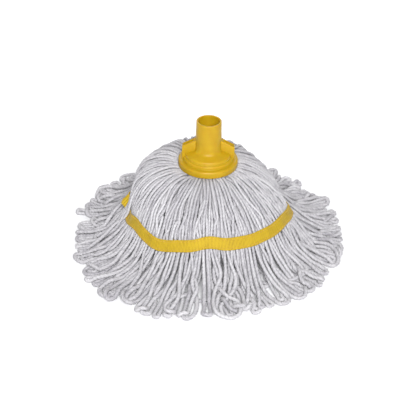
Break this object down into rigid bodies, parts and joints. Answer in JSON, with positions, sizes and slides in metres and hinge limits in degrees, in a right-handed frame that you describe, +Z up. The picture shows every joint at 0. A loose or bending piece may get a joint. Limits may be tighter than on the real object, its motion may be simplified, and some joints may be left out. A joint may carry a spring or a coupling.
{
  "type": "string mop",
  "caption": "String mop head with looped twisted yarn splayed into a dome, a sewn yellow tape round it, and a yellow plastic socket with a flange and snap-in wings for the handle.",
  "frame": {"origin": "on the socket's axis, at the floor that the yarn stands on", "axes": "+Z up along the socket's axis, out of its mouth; -Y is the side that the picture shows; the two wings point to +X and -X"},
  "size_m": [0.3252, 0.344, 0.156],
  "materials": {
    "socket_plastic": "satin moulded polypropylene",
    "yarn": "matt twisted cotton yarn",
    "tape": "matt woven tape",
    "thread": "matt sewing thread"
  },
  "bodies": {
    "root": {"socket": "socket_plastic", "clamp_plate": "socket_plastic", "yarn_crown": "yarn", "tape_outer": "tape", "tape_inner": "tape", "stitch_row_upper": "thread", "stitch_row_lower": "thread", "yarn_hank_01": "yarn", "yarn_hank_02": "yarn", "yarn_hank_03": "yarn", "yarn_hank_04": "yarn", "yarn_hank_05": "yarn", "yarn_hank_06": "yarn", "yarn_hank_07": "yarn", "yarn_hank_08": "yarn", "yarn_hank_09": "yarn", "yarn_hank_10": "yarn", "yarn_hank_11": "yarn", "yarn_hank_12": "yarn", "yarn_hank_13": "yarn", "yarn_hank_14": "yarn", "yarn_hank_15": "yarn", "yarn_hank_16": "yarn", "yarn_hank_17": "yarn", "yarn_hank_18": "yarn", "yarn_hank_19": "yarn", "yarn_hank_20": "yarn", "yarn_hank_21": "yarn", "yarn_hank_22": "yarn", "yarn_hank_23": "yarn", "yarn_hank_24": "yarn", "yarn_hank_25": "yarn", "yarn_hank_26": "yarn", "yarn_hank_27": "yarn", "yarn_hank_28": "yarn", "yarn_hank_29": "yarn", "yarn_hank_30": "yarn", "yarn_hank_31": "yarn", "yarn_hank_32": "yarn", "yarn_hank_33": "yarn", "yarn_hank_34": "yarn", "yarn_hank_35": "yarn", "yarn_hank_36": "yarn", "inner_hank_01": "yarn", "inner_hank_02": "yarn", "inner_hank_03": "yarn", "inner_hank_04": "yarn", "inner_hank_05": "yarn", "inner_hank_06": "yarn", "inner_hank_07": "yarn", "inner_hank_08": "yarn", "inner_hank_09": "yarn", "inner_hank_10": "yarn", "inner_hank_11": "yarn", "inner_hank_12": "yarn"}
  },
  "joints": []
}
